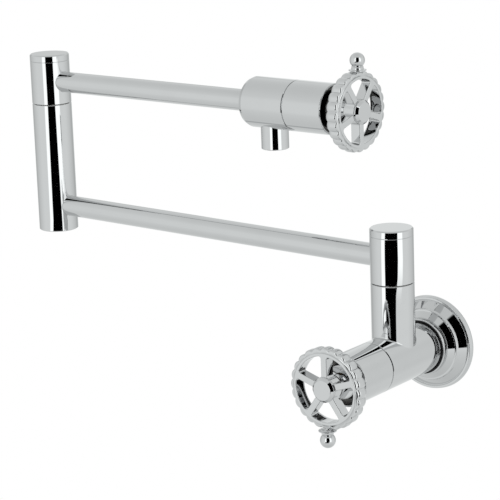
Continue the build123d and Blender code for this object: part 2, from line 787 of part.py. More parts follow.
def handwheel():
    """Handwheel with a cogged rim, five windows between spokes, and a long hub.

    It is drawn on its own axis, with the bonnet's seam at the origin and the first spoke
    along +X, and the finial's seat opposite that spoke.
    """
    cog_end = wheel_front - rim_step
    with BuildSketch(Plane.XY.offset(wheel_back)) as cogs:
        Circle(cog_pitch_r)
        with PolarLocations(cog_pitch_r, cog_count):
            RegularPolygon(cog_round, cog_sides, rotation=180 / cog_sides)
    extrude(cogs.sketch, amount=cog_end - wheel_back)
    # the cogs are crowned: this barrel shape trims their ends
    crown_r = cog_pitch_r + cog_round
    with BuildSketch(Plane.XZ) as crown:
        with BuildLine():
            Polyline(
                (0, wheel_back),
                (crown_r - tail_drop, wheel_back),
                (crown_r, wheel_back + tail_taper),
                (crown_r, cog_end - cog_taper),
                (crown_r - cog_drop, cog_end),
                (0, cog_end),
                close=True,
            )
        make_face()
    revolve(crown.sketch, axis=Axis.Z, mode=Mode.INTERSECT)
    # smooth ring in front of the cogs
    turn(
        Plane.XY,
        (0, cog_end - rim_step),
        (ring_d / 2, cog_end - rim_step),
        (ring_d / 2, wheel_front - ring_edge),
        (ring_d / 2 - ring_edge, wheel_front),
        (0, wheel_front),
    )
    # five windows with rounded corners
    with BuildSketch(Plane.XY.offset(wheel_back)) as windows:
        Circle(window_d / 2)
        Circle(hub_d / 2, mode=Mode.SUBTRACT)
        with PolarLocations(window_d / 2, spoke_count):
            Rectangle(window_d, spoke_w, mode=Mode.SUBTRACT)
        fillet(windows.vertices(), window_corner)
    extrude(windows.sketch, amount=rim_depth, mode=Mode.SUBTRACT)
    # the spokes are shallower than the rim, and the hub runs back to the collar nut
    bore(Plane.XY, window_d / 2, wheel_back, spoke_back)
    turn(
        Plane.XY,
        (0, barrel_in),
        (barrel_d / 2, barrel_in),
        (barrel_d / 2, spoke_back - hub_step),
        (hub_d / 2, spoke_back - hub_step),
        (hub_d / 2, spoke_back),
        (0, spoke_back),
    )
    with BuildSketch(Plane.XY.offset(barrel_in)) as toothed:
        RegularPolygon(spline_d / 2 + braze_gap, spline_teeth)
    extrude(toothed.sketch, amount=spline_out + axial_gap - barrel_in, mode=Mode.SUBTRACT)
    bore(Plane.XY, screw_d / 2 + thread_gap, spline_out, wheel_front)
    bore(Plane.XY, button_spigot_d / 2 + braze_gap, hub_floor, wheel_front)
    # flat seat and hole for the finial
    seat_axis = finial_plane(Plane.XY)
    with BuildSketch(seat_axis.offset(finial_seat)) as seat:
        Circle(finial_collar_d / 2 + recess_gap)
    extrude(seat.sketch, amount=cog_pitch_r, mode=Mode.SUBTRACT)
    stud_end = finial_seat - finial_stud_h - axial_gap
    bore(seat_axis, finial_stud_d / 2 + braze_gap, stud_end, finial_out)


def finial_plane(face):
    """Plane on the wheel's axis, facing out along the finial."""
    foot = face.origin + face.z_dir * (wheel_front - finial_back)
    return Plane(origin=foot, x_dir=face.z_dir, z_dir=-face.x_dir)


def finial(face):
    """Ball on a short neck and a flat collar, with a stud pressed into the rim."""
    collar_top = finial_seat + finial_collar_h
    axis = finial_plane(face)
    turn(
        axis,
        (0, finial_seat - finial_stud_h),
        (finial_stud_d / 2, finial_seat - finial_stud_h),
        (finial_stud_d / 2, finial_seat),
        (finial_collar_d / 2, finial_seat),
        (finial_collar_d / 2, collar_top - finial_edge),
        (finial_collar_d / 2 - finial_edge, collar_top),
        (finial_neck_d / 2, collar_top),
        (finial_neck_d / 2, collar_top + finial_neck_h),
        (0, collar_top + finial_neck_h),
    )
    with Locations(axis.offset(finial_out)):
        Sphere(finial_ball_d / 2)


def hub_button(seam):
    """Round button that closes the hub over the screw."""
    turn(
        seam,
        (0, wheel_front - button_spigot_h),
        (button_spigot_d / 2, wheel_front - button_spigot_h),
        (button_spigot_d / 2, wheel_front),
        (hub_d / 2, wheel_front),
        (hub_d / 2, wheel_front + hub_face - hub_edge),
        (hub_d / 2 - hub_edge, wheel_front + hub_face),
        (0, wheel_front + hub_face),
    )


def wheel_screw(seam):
    """Socket head screw that holds the wheel on the stem."""
    turn(
        seam,
        (0, hub_floor - screw_len),
        (screw_d / 2, hub_floor - screw_len),
        (screw_d / 2, hub_floor),
        (screw_head_d / 2, hub_floor),
        (screw_head_d / 2, hub_floor + screw_head_h),
        (0, hub_floor + screw_head_h),
    )
    with BuildSketch(seam.offset(hub_floor + screw_head_h)) as socket:
        RegularPolygon(screw_socket / 2, 6, major_radius=False)
    extrude(socket.sketch, amount=-screw_head_h / 2, mode=Mode.SUBTRACT)


with BuildPart() as wheel_pattern:
    handwheel()

# the base wheel has a spoke straight up, the spout wheel has one straight down
spout_face = Plane(origin=spout_seam.origin, x_dir=-up, z_dir=upper_dir)
for valve_name, seam, face in (("base", base_seam, base_seam), ("spout", spout_seam, spout_face)):
    with BuildPart() as cover:
        bonnet(seam)
    write(cover, f"{valve_name}_bonnet")

    with BuildPart() as collar:
        collar_nut(seam)
    write(collar, f"{valve_name}_collar_nut")

    with BuildPart() as cartridge:
        cartridge_body(seam)
    write(cartridge, f"{valve_name}_cartridge_body")

    with BuildPart() as cartridge_ring:
        cartridge_ring_r = cartridge_thread_d / 2 + thread_gap - ring_gap - cartridge_ring_d / 2
        cord_ring(seam, cartridge_ring_r, cartridge_ring_out, cartridge_ring_d)
    write(cartridge_ring, f"{valve_name}_cartridge_ring")

    with BuildPart() as seat_seal:
        turn(
            seam,
            (inlet_bore_d / 2, -seat_back),
            (cup_bore_r - cup_gap, -seat_back),
            (cup_bore_r - cup_gap, seal_top),
            (inlet_bore_d / 2, seal_top),
        )
    write(seat_seal, f"{valve_name}_seat_seal")

    with BuildPart() as fixed_disc:
        disc(seam.offset(seal_top))
    write(fixed_disc, f"{valve_name}_fixed_disc")

    with BuildPart() as moving_disc:
        closed = Plane(
            origin=seam.origin + seam.z_dir * moving_low, x_dir=seam.y_dir, z_dir=seam.z_dir
        )
        disc(closed)
        with BuildSketch(seam.offset(moving_top)):
            Rectangle(blade_l + 2 * braze_gap, blade_w + 2 * braze_gap)
        extrude(amount=-blade_sink - axial_gap, mode=Mode.SUBTRACT)
    write(moving_disc, f"{valve_name}_moving_disc")

    with BuildPart() as stem:
        valve_stem(seam)
    write(stem, f"{valve_name}_stem")

    with BuildPart() as stem_rings:
        stem_ring_r = stem_bore_r - ring_gap - stem_ring_d / 2
        for ring_out in (stem_ring_out, stem_ring_out + stem_ring_pitch):
            cord_ring(seam, stem_ring_r, ring_out, stem_ring_d)
    write(stem_rings, f"{valve_name}_stem_rings")

    with BuildPart() as stop:
        stop_ring(seam)
    write(stop, f"{valve_name}_stop_ring")

    with BuildPart() as wheel:
        with Locations(face):
            add(wheel_pattern.part)
    write(wheel, f"{valve_name}_handwheel")

    with BuildPart() as knob:
        finial(face)
    write(knob, f"{valve_name}_finial")

    with BuildPart() as button:
        hub_button(seam)
    write(button, f"{valve_name}_hub_button")

    with BuildPart() as screw:
        wheel_screw(seam)
    write(screw, f"{valve_name}_wheel_screw")

# ======================================================================================
# Outlet: a short tube below the spout's valve body, with a jet insert and its washer.
# ======================================================================================
insert_top = insert_set + insert_h
with BuildPart() as outlet_nozzle:
    insert_bore_r = insert_d / 2 + thread_gap
    turn(
        outlet_plane,
        (insert_bore_r, 0),
        (outlet_d / 2 - outlet_lip, 0),
        (outlet_d / 2, outlet_lip),
        (outlet_d / 2, outlet_top),
        (outlet_bore_d / 2, outlet_top),
        (outlet_bore_d / 2, insert_top + outlet_washer_h),
        (insert_bore_r, insert_top + outlet_washer_h),
    )
write(outlet_nozzle, "outlet_nozzle")

with BuildPart() as outlet_washer:
    turn(
        outlet_plane,
        (outlet_bore_d / 2, insert_top),
        (insert_d / 2, insert_top),
        (insert_d / 2, insert_top + outlet_washer_h),
        (outlet_bore_d / 2, insert_top + outlet_washer_h),
    )
write(outlet_washer, "outlet_washer")

with BuildPart() as stream_insert:
    turn(
        outlet_plane,
        (0, insert_set),
        (insert_d / 2, insert_set),
        (insert_d / 2, insert_top),
        (insert_d / 2 - insert_wall, insert_top),
        (insert_d / 2 - insert_wall, insert_set + insert_floor),
        (0, insert_set + insert_floor),
    )
    with BuildSketch(outlet_plane.offset(insert_set)) as jets:
        with PolarLocations(jet_ring_r, jet_count):
            RegularPolygon(jet_d / 2, 6)
    extrude(jets.sketch, amount=insert_floor, mode=Mode.SUBTRACT)
write(stream_insert, "stream_insert")
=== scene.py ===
import bmesh
import bpy
import json
import math
import numpy as np
from mathutils import Matrix, Vector


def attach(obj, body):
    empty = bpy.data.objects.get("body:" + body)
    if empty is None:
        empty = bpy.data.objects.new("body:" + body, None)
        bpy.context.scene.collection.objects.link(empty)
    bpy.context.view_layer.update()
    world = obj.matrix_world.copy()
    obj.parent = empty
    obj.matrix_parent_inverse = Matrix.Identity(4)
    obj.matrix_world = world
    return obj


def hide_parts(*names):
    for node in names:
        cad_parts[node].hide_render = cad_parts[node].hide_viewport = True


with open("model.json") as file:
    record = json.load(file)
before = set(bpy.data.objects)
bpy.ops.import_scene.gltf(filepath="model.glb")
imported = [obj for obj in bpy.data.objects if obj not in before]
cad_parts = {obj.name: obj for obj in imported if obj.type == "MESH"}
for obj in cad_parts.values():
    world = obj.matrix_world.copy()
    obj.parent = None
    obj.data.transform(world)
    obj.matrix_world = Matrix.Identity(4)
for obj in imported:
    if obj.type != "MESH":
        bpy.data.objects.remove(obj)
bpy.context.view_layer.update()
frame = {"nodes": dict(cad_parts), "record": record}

# ---- camera -------------------------------------------------------------------------
# A long lens looks from the front right, a little from above. Its place and turn were
# solved from the circles, posts and seams of the photographed object.
cam_data = bpy.data.cameras.new("camera")
cam_data.sensor_width = 36.0
cam_data.lens = 157.24
cam_data.clip_start = 0.05
cam_data.clip_end = 50.0
camera = bpy.data.objects.new("camera", cam_data)
bpy.context.scene.collection.objects.link(camera)
stand = (0.8393, -1.3379, 0.4449)
yaw, pitch, roll = (math.radians(a) for a in (36.955, -13.214, -2.108))
level_ahead = Vector((-math.sin(yaw), math.cos(yaw), 0.0))
level_right = Vector((math.cos(yaw), math.sin(yaw), 0.0))
ahead = math.cos(pitch) * level_ahead + math.sin(pitch) * Vector((0.0, 0.0, 1.0))
level_up = level_right.cross(ahead)
right = math.cos(roll) * level_right + math.sin(roll) * level_up
above = -math.sin(roll) * level_right + math.cos(roll) * level_up
turn = Matrix((right, above, -ahead)).transposed().to_4x4()
camera.matrix_world = Matrix.Translation(stand) @ turn
bpy.context.scene.camera = camera

# ---- light --------------------------------------------------------------------------
# A bright, even photo studio round polished metal. Behind the camera stands a tall dark
# opening between two white softboxes, and chrome shows all three as crisp upright bands.
world = bpy.data.worlds.new("studio")
bpy.context.scene.world = world
world.use_nodes = True
sky_tree = world.node_tree
sky_tree.nodes.clear()


def sky_node(kind, **settings):
    """Add a node to the studio's shader and set its plain properties."""
    node = sky_tree.nodes.new(kind)
    for key, value in settings.items():
        setattr(node, key, value)
    return node


def sky_feed(value, slot):
    """Give a socket a plain number or another node's output."""
    if isinstance(value, (int, float)):
        slot.default_value = value
    else:
        sky_tree.links.new(value, slot)


def sky_math(operation, *values):
    """One sum in the studio's shader, from sockets or plain numbers."""
    node = sky_node("ShaderNodeMath", operation=operation)
    for value, slot in zip(values, node.inputs):
        sky_feed(value, slot)
    return node.outputs[0]


def sky_mix(share, first, second):
    """The first value where share is 0, and the second where it is 1."""
    node = sky_node("ShaderNodeMix", data_type="FLOAT")
    for value, k in ((share, 0), (first, 2), (second, 3)):
        sky_feed(value, node.inputs[k])
    return node.outputs[0]


def sky_curve(value, low, high, points, full=1.0):
    """Straight lines through (input, output) points, for inputs between low and high. A curve
    node runs from 0 to 1, so it holds the outputs as shares of full."""
    node = sky_node("ShaderNodeFloatCurve")
    sky_feed(sky_math("DIVIDE", sky_math("SUBTRACT", value, low), high - low), node.inputs["Value"])
    line = node.mapping.curves[0]
    places = [((x - low) / (high - low), y / full) for x, y in points]
    line.points[0].location, line.points[1].location = places[0], places[-1]
    for place in places[1:-1]:
        line.points.new(*place)
    for point in line.points:
        point.handle_type = "VECTOR"
    node.mapping.update()
    return sky_math("MULTIPLY", node.outputs[0], full)


def sky_step(value, edge, blur):
    """0 below the edge and 1 above it, over a short smooth run."""
    node = sky_node("ShaderNodeMapRange", interpolation_type="SMOOTHSTEP")
    sky_feed(sky_math("SUBTRACT", value, edge), node.inputs["Value"])
    node.inputs["From Min"].default_value = -blur
    node.inputs["From Max"].default_value = blur
    return node.outputs["Result"]


def sky_band(value, low, high, low_blur, high_blur):
    """1 between two edges and 0 outside them."""
    under = sky_math("SUBTRACT", 1.0, sky_step(value, high, high_blur))
    return sky_math("MULTIPLY", sky_step(value, low, low_blur), under)


# directions as degrees: azimuth from the camera's own side, and height over the horizon
towards_camera = 53.06
heading = sky_node("ShaderNodeTexCoord")
swing = sky_node("ShaderNodeVectorRotate", rotation_type="Z_AXIS")
swing.inputs["Angle"].default_value = math.radians(towards_camera)
sky_feed(heading.outputs["Generated"], swing.inputs["Vector"])
heading_xyz = sky_node("ShaderNodeSeparateXYZ")
sky_feed(swing.outputs["Vector"], heading_xyz.inputs[0])
round_turn = sky_math("ARCTAN2", heading_xyz.outputs["Y"], heading_xyz.outputs["X"])
azimuth = sky_math("MULTIPLY", round_turn, 180 / math.pi)
height = sky_math("MULTIPLY", sky_math("ARCSINE", heading_xyz.outputs["Z"]), 180 / math.pi)

# the dark opening: its left and right edges by height, and its foot and top
left_edge = sky_curve(height, -60, 60, (
    (-60, -30), (-24, -44), (-13.2, -42), (-12.2, -27), (-9, -21), (10, -26), (60, -24)), -100)
right_edge = sky_curve(height, -60, 60, (
    (-60, 14), (-24, 10), (-14.6, 12), (-13.9, 28), (-12.2, 26), (-9, 22), (10, 26), (60, 24)), 100)
dark_foot, dark_top = -27.0, 48.0
dark = sky_math("MULTIPLY", sky_band(azimuth, left_edge, right_edge, 1.0, 1.0),
                sky_band(height, dark_foot, dark_top, 1.5, 2.0))

# a softbox stands on each side of it, and the left one reaches a little lower
left_wide, right_wide, box_top, box_level = 19.0, 27.0, 40.0, 1.12
box_left = sky_math("SUBTRACT", left_edge, left_wide)
box_right = sky_math("ADD", right_edge, right_wide)
box_foot = sky_curve(azimuth, -180, 180, ((-180, -17), (-1, -17), (1, -14.2), (180, -14.2)), -100)
boxes = sky_math("MULTIPLY", sky_band(azimuth, box_left, box_right, 2.0, 2.0),
                 sky_band(height, box_foot, box_top, 0.6, 4.0))

# the walls round them: even grey, duller behind the object and far above and below
level_wall = sky_curve(azimuth, -180, 180, (
    (-180, 0.50), (-172, 0.52), (-164, 0.60), (-155, 0.42), (-142, 0.40), (-125, 0.52),
    (-100, 0.61), (-80, 0.66), (80, 0.66), (100, 0.61), (125, 0.52), (142, 0.40), (155, 0.42),
    (168, 0.62), (180, 0.66)))
steepness = sky_math("ABSOLUTE", height)
steep_wall = sky_curve(steepness, 0, 90, ((0, 0.62), (30, 0.60), (50, 0.55), (90, 0.50)))
wall = sky_mix(sky_step(steepness, 22.0, 8.0), level_wall, steep_wall)
shown = sky_math("MULTIPLY", sky_mix(boxes, wall, box_level), sky_math("SUBTRACT", 1.0, dark))
studio_tint = (0.975, 1.0, 0.995)
tinted = sky_node("ShaderNodeCombineColor")
for share, slot in zip(studio_tint, tinted.inputs):
    sky_feed(sky_math("MULTIPLY", shown, share), slot)

# metal sees the studio, while plain surfaces and the view get an even white
path = sky_node("ShaderNodeLightPath")
studio_light = sky_node("ShaderNodeBackground")
studio_light.inputs["Strength"].default_value = 1.37
sky_feed(tinted.outputs[0], studio_light.inputs["Color"])
even_light = sky_node("ShaderNodeBackground")
even_light.inputs["Color"].default_value = (1.0, 1.0, 1.0, 1.0)
either = sky_node("ShaderNodeMixShader")
sky_feed(path.outputs["Is Glossy Ray"], either.inputs[0])
sky_feed(even_light.outputs[0], either.inputs[1])
sky_feed(studio_light.outputs[0], either.inputs[2])
world_out = sky_node("ShaderNodeOutputWorld")
sky_feed(either.outputs[0], world_out.inputs["Surface"])
bpy.context.scene.view_settings.view_transform = "Standard"

# ---- wall flange --------------------------------------------------------------------
# A spun and plated brass escutcheon with a rounded rim, a cove and a raised ring. It slides
# over the inlet barrel, where a black rubber ring holds it, and hides the wall hole.
mm = 0.001                   # sizes are in millimetres, and the meshes in metres


def surface_noise(tree, scale, detail, stretch=(1.0, 1.0, 1.0)):
    """Noise on Object coordinates, stretched along each axis."""
    place = tree.nodes.new("ShaderNodeTexCoord")
    shape = tree.nodes.new("ShaderNodeMapping")
    shape.inputs["Scale"].default_value = stretch
    noise = tree.nodes.new("ShaderNodeTexNoise")
    noise.inputs["Scale"].default_value = scale
    noise.inputs["Detail"].default_value = detail
    tree.links.new(place.outputs["Object"], shape.inputs["Vector"])
    tree.links.new(shape.outputs["Vector"], noise.inputs["Vector"])
    return noise.outputs["Fac"]


def spread(tree, value, low, high, into_low, into_high):
    """Stretch a value from one range to another, clamped."""
    node = tree.nodes.new("ShaderNodeMapRange")
    tree.links.new(value, node.inputs["Value"])
    for socket, number in (("From Min", low), ("From Max", high),
                           ("To Min", into_low), ("To Max", into_high)):
        node.inputs[socket].default_value = number
    return node.outputs["Result"]


def times_plus(tree, value, factor, extra):
    """A value times a factor, which is a number or a socket, plus an extra value."""
    node = tree.nodes.new("ShaderNodeMath")
    node.operation = "MULTIPLY_ADD"
    tree.links.new(value, node.inputs[0])
    if isinstance(factor, float):
        node.inputs[1].default_value = factor
    else:
        tree.links.new(factor, node.inputs[1])
    tree.links.new(extra, node.inputs[2])
    return node.outputs[0]


def shaded(tree, share, colour, shade):
    """A colour that is multiplied by a shade as far as share says."""
    node = tree.nodes.new("ShaderNodeMix")
    node.data_type, node.blend_type = "RGBA", "MULTIPLY"
    tree.links.new(share, node.inputs[0])
    tree.links.new(colour, node.inputs[6])
    node.inputs[7].default_value = shade
    return node.outputs[2]


def finish_group(name, colour, roughness, smudge):
    """A new node group for finishes: colour, roughness and smudge go in, and colour, roughness
    and the ripple's height come out."""
    tree = bpy.data.node_groups.new(name, "ShaderNodeTree")
    for socket, kind, value in (("Colour", "Color", colour), ("Roughness", "Float", roughness),
                                ("Smudge", "Float", smudge)):
        made = tree.interface.new_socket(socket, in_out="INPUT", socket_type="NodeSocket" + kind)
        made.default_value = value
    for socket, kind in (("Colour", "Color"), ("Roughness", "Float"), ("Height", "Float")):
        tree.interface.new_socket(socket, in_out="OUTPUT", socket_type="NodeSocket" + kind)
    return tree, tree.nodes.new("NodeGroupInput"), tree.nodes.new("NodeGroupOutput")


# handling marks: broad faint smudges and fine polishing haze, used by every metal piece
handled, into, out = finish_group("handling_marks", (0.66, 0.665, 0.67, 1.0), 0.02, 0.03)
haze_depth = 0.006
smudges = spread(handled, surface_noise(handled, 38.0, 3.0), 0.5, 0.72, 0.0, 1.0)
haze = surface_noise(handled, 260.0, 2.0, (1.0, 1.0, 0.35))
smudged = times_plus(handled, smudges, into.outputs["Smudge"], into.outputs["Roughness"])
toned = shaded(handled, spread(handled, smudges, 0.0, 1.0, 0.0, 0.35), into.outputs["Colour"],
               (0.95, 0.95, 0.95, 1.0))
handled.links.new(toned, out.inputs["Colour"])
handled.links.new(times_plus(handled, haze, haze_depth, smudged), out.inputs["Roughness"])
handled.links.new(surface_noise(handled, 45.0, 0.0), out.inputs["Height"])


def finish(name, group, colour, metallic, roughness, smudge, ripple, coat=0.0):
    """A Principled finish that takes its colour, roughness and ripple from a shared group."""
    made = bpy.data.materials.new(name)
    made.use_nodes = True
    tree = made.node_tree
    shader = tree.nodes["Principled BSDF"]
    marks = tree.nodes.new("ShaderNodeGroup")
    marks.node_tree = group
    marks.inputs["Colour"].default_value = colour + (1.0,)
    marks.inputs["Roughness"].default_value = roughness
    marks.inputs["Smudge"].default_value = smudge
    shader.inputs["Metallic"].default_value = metallic
    shader.inputs["Coat Weight"].default_value = coat
    bump = tree.nodes.new("ShaderNodeBump")
    bump.inputs["Strength"].default_value = ripple
    bump.inputs["Distance"].default_value = 0.1 * mm
    tree.links.new(marks.outputs["Colour"], shader.inputs["Base Color"])
    tree.links.new(marks.outputs["Roughness"], shader.inputs["Roughness"])
    tree.links.new(marks.outputs["Height"], bump.inputs["Height"])
    tree.links.new(bump.outputs["Normal"], shader.inputs["Normal"])
    return made


chrome = finish("chrome_plate", handled, (0.66, 0.665, 0.67), 1.0, 0.01, 0.02, 0.03)


def rounded_line(corners, closed):
    """Outline with rounded corners, given as (radius, height, rounding) in millimetres. An
    arc's points are its centre plus the rounding times the turning direction from one run's
    tangent point to the next, and one more point beside each end keeps the flats flat."""
    beside, steps_a_radian = 0.04, 5
    line = []
    count = len(corners)
    for k, (r, h, rounding) in enumerate(corners):
        here = np.array([r, h])
        if rounding == 0 or (not closed and k in (0, count - 1)):
            line.append(here[None])
            continue
        back = np.array(corners[k - 1][:2]) - here
        on = np.array(corners[(k + 1) % count][:2]) - here
        back, on = back / np.linalg.norm(back), on / np.linalg.norm(on)
        half = 0.5 * math.acos(float(np.clip(back @ on, -1, 1)))
        reach = rounding / math.tan(half)
        middle = here + (back + on) / np.linalg.norm(back + on) * rounding / math.sin(half)
        first, last = here + back * reach - middle, here + on * reach - middle
        sweep = math.pi - 2 * half
        t = np.linspace(0, 1, 3 + int(sweep * steps_a_radian))[:, None]
        arc = np.sin((1 - t) * sweep) * first + np.sin(t * sweep) * last
        arc = middle + arc / math.sin(sweep)
        line.append(np.vstack([here + back * (reach + beside), arc, here + on * (reach + beside)]))
    return np.vstack(line)


def grid_faces(rows, columns, wrap_rows=False):
    """Four-cornered faces of a grid whose columns run round and close on themselves."""
    r = np.arange(rows if wrap_rows else rows - 1)[:, None]
    c = np.arange(columns)[None]
    near, far = r * columns, (r + 1) % rows * columns
    beside = (c + 1) % columns
    return np.stack([near + c, near + beside, far + beside, far + c], -1).reshape(-1, 4)


def put(name, points, faces, materials, body, face_material=None, stands_for=()):
    """Make a piece from points in metres, merge its seams and poles, and turn it outwards."""
    mesh = bpy.data.meshes.new(name)
    mesh.from_pydata(points.tolist(), [], faces.tolist())
    if face_material is not None:
        mesh.polygons.foreach_set("material_index", face_material)
    work = bmesh.new()
    work.from_mesh(mesh)
    bmesh.ops.remove_doubles(work, verts=work.verts, dist=1e-6)
    bmesh.ops.dissolve_degenerate(work, edges=work.edges, dist=1e-7)
    bmesh.ops.recalc_face_normals(work, faces=work.faces)
    work.to_mesh(mesh)
    work.free()
    mesh.polygons.foreach_set("use_smooth", np.ones(len(mesh.polygons), bool))
    for material in materials:
        mesh.materials.append(material)
    piece = bpy.data.objects.new(name, mesh)
    bpy.context.scene.collection.objects.link(piece)
    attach(piece, body)
    if stands_for:
        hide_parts(*stands_for)


def turned(name, line, closed, axis, materials, body, stands_for, steps=288,
           dark_faces=None):
    """Turned piece: point(i, a) = foot + height i along the axis + radius i times (across
    cos a + over sin a). dark_faces picks the faces of the second material by their middles."""
    foot, along, across, over = axis
    a = np.linspace(0, 2 * math.pi, steps, endpoint=False)[:, None]
    ring = np.cos(a) * across + np.sin(a) * over
    points = foot + line[:, None, 1:] * along + line[:, None, :1] * ring
    faces = grid_faces(len(line), steps, closed)
    which = None
    if dark_faces is not None:
        middle = (line + np.roll(line, -1, 0)) / 2
        which = np.repeat(dark_faces(middle[:len(faces) // steps]).astype(np.int32), steps)
    put(name, points.reshape(-1, 3) * mm, faces, materials, body, which, stands_for)


# directions: to the right along the wall, up, and out from the wall into the room
right_x, up_z, room = np.array([1.0, 0, 0]), np.array([0, 0, 1.0]), np.array([0, -1.0, 0])
inlet_axis = (np.zeros(3), room, right_x, up_z)
flange_corners = [
    (35.7, 0.0, 0), (35.7, 0.9, 0.5), (34.95, 3.9, 0.5), (33.4, 3.9, 0.3), (32.4, 3.1, 0.3),
    (27.5, 7.7, 0.3), (27.2, 8.5, 0.25), (26.8, 9.4, 0.35), (25.6, 9.5, 0.25), (21.6, 13.2, 0.3),
    (21.2, 16.6, 0.2), (20.9, 17.5, 0.35), (20.3, 17.3, 0.2), (20.2, 13.6, 0), (20.9, 13.5, 0),
    (20.9, 11.2, 0), (20.0, 11.0, 0), (23.0, 7.2, 0), (30.4, 1.6, 0), (30.4, 0.0, 0)]
turned("wall_flange_spun", rounded_line(flange_corners, True), True, inlet_axis, [chrome],
       "wall_body", ["wall_flange"], steps=480)

# ---- flange seals -------------------------------------------------------------------
# A foam rubber gasket in the flange's foot seals on the wall. A black rubber ring in the
# mouth of the flange grips the barrel, and shows as a dark line round it.

# moulded grain: a fine matt grain and a little dust, used by every rubber and plastic piece
moulded, into, out = finish_group("moulded_grain", (0.02, 0.02, 0.02, 1.0), 0.6, 0.15)
patches = surface_noise(moulded, 120.0, 4.0)
patched = times_plus(moulded, patches, into.outputs["Smudge"], into.outputs["Roughness"])
dusty = shaded(moulded, spread(moulded, patches, 0.35, 0.7, 0.0, 0.5), into.outputs["Colour"],
               (0.75, 0.75, 0.76, 1.0))
moulded.links.new(dusty, out.inputs["Colour"])
moulded.links.new(patched, out.inputs["Roughness"])
moulded.links.new(surface_noise(moulded, 1800.0, 2.0), out.inputs["Height"])
rubber = finish("black_rubber", moulded, (0.014, 0.014, 0.015), 0.0, 0.5, 0.2, 0.25)

seal_corners = [(19.13, 11.3, 0), (20.15, 11.3, 0), (20.15, 16.5, 0.3), (19.13, 16.5, 0.3)]
turned("flange_grip_seal", rounded_line(seal_corners, True), True, inlet_axis, [rubber],
       "wall_body", ["flange_grip_ring"])

# ---- bonnets ------------------------------------------------------------------------
# A plated sleeve screwed over each cartridge. Its outer end is dished down to a web under
# the collar nut, and the dish is given a near-black metal: painted shade for that recess.
# painted shade: a near-black, fairly glossy metal for the dish, standing in for the recess's shade
recess_shade_finish = finish("painted_recess_shade", handled, (0.10, 0.098, 0.095), 1.0, 0.16, 0.2, 0.2)
base_seam, spout_seam = 82.2, 258.1          # from the wall, and from the elbow's axis
elbow = np.array([-347.65, -21.6, 178.3])
fold = math.radians(-3.7)                    # the upper arm's lean from the wall's own line
outward = np.array([math.cos(fold), math.sin(fold), 0])
base_axis = (np.array([0, -base_seam, 0]), room, right_x, up_z)
spout_axis = (elbow + spout_seam * outward, outward, np.cross(outward, up_z), -up_z)
valves = (("base", base_axis, "wall_body"), ("spout", spout_axis, "upper_arm"))
bonnet_corners = [
    (17.0, 0.8, 0), (18.8, 0.8, 0), (19.1, 1.05, 0.2), (19.1, 35.8, 0.45), (17.7, 35.8, 0.35),
    (17.4, 33.2, 0.2), (8.7, 33.0, 0), (8.7, 30.0, 0), (15.0, 30.0, 0), (15.0, 8.8, 0),
    (17.0, 8.8, 0)]
dish_floor, dish_lip, dish_wall = 32.6, 35.3, 17.66


def in_dish(middle):
    """Tells by their (radius, height) which faces lie in the dish."""
    r, h = middle.T
    return (h > dish_floor) & (h < dish_lip) & (r < dish_wall)


# the dish's faces take the near-black painted shade, and the rest of the sleeve is chrome
for valve, axis, body in valves:
    turned(f"{valve}_bonnet_sleeve", rounded_line(bonnet_corners, True), True, axis,
           [chrome, recess_shade_finish], body, [f"{valve}_bonnet"], dark_faces=in_dish)

# ---- collar nuts --------------------------------------------------------------------
# A plain round nut on each cartridge's neck holds the bonnet down. It is turned from brass
# and plated, and the barrel of the handwheel turns in its mouth.
collar_corners = [
    (8.6, 33.02, 0), (12.3, 33.02, 0), (12.3, 39.6, 0.8), (7.0, 39.6, 0.25), (7.0, 37.9, 0),
    (7.6, 37.4, 0), (7.6, 35.3, 0), (8.6, 35.1, 0)]
for valve, axis, body in valves:
    turned(f"{valve}_collar", rounded_line(collar_corners, True), True, axis, [chrome],
           body, [f"{valve}_collar_nut"], steps=240)

# ---- handwheels ---------------------------------------------------------------------
# Each handwheel is one plated casting: a rim with round knuckles like a gear, five spokes
# and a hub whose barrel runs back over the stem. It is pressed and screwed on the stem.
wheel_face = 60.1                            # bonnet seam to the front face
rim_back, spoke_back = wheel_face - 10.5, wheel_face - 8.0
knuckles, knuckle_r, knuckle_at = 24, 4.9, 24.9
knuckle_front = wheel_face - 0.95
front_crown, back_crown = (1.6, 1.7), (2.0, 4.0)     # how far each falls, and over what depth
face_r, ring_r, ring_soft = 24.9, 26.2, 0.6          # the smooth ring in front of the knuckles
windows, half_window = 5, math.radians(36)
window_r, hub_r, spoke_half, corner_r = 24.0, 9.05, 2.4, 1.7
hub_face_r, window_soft = 7.0, 0.55
window_steps = 180                           # columns of the rim for each window
seat_turn, seat_half, seat_r = math.pi, 0.24, 29.2   # the finial's flat, opposite a spoke


def on_circle(radius, angle):
    """Points of a circle round the origin: radius times (cos a, sin a) for each angle a."""
    return radius * np.stack([np.cos(angle), np.sin(angle)], -1)


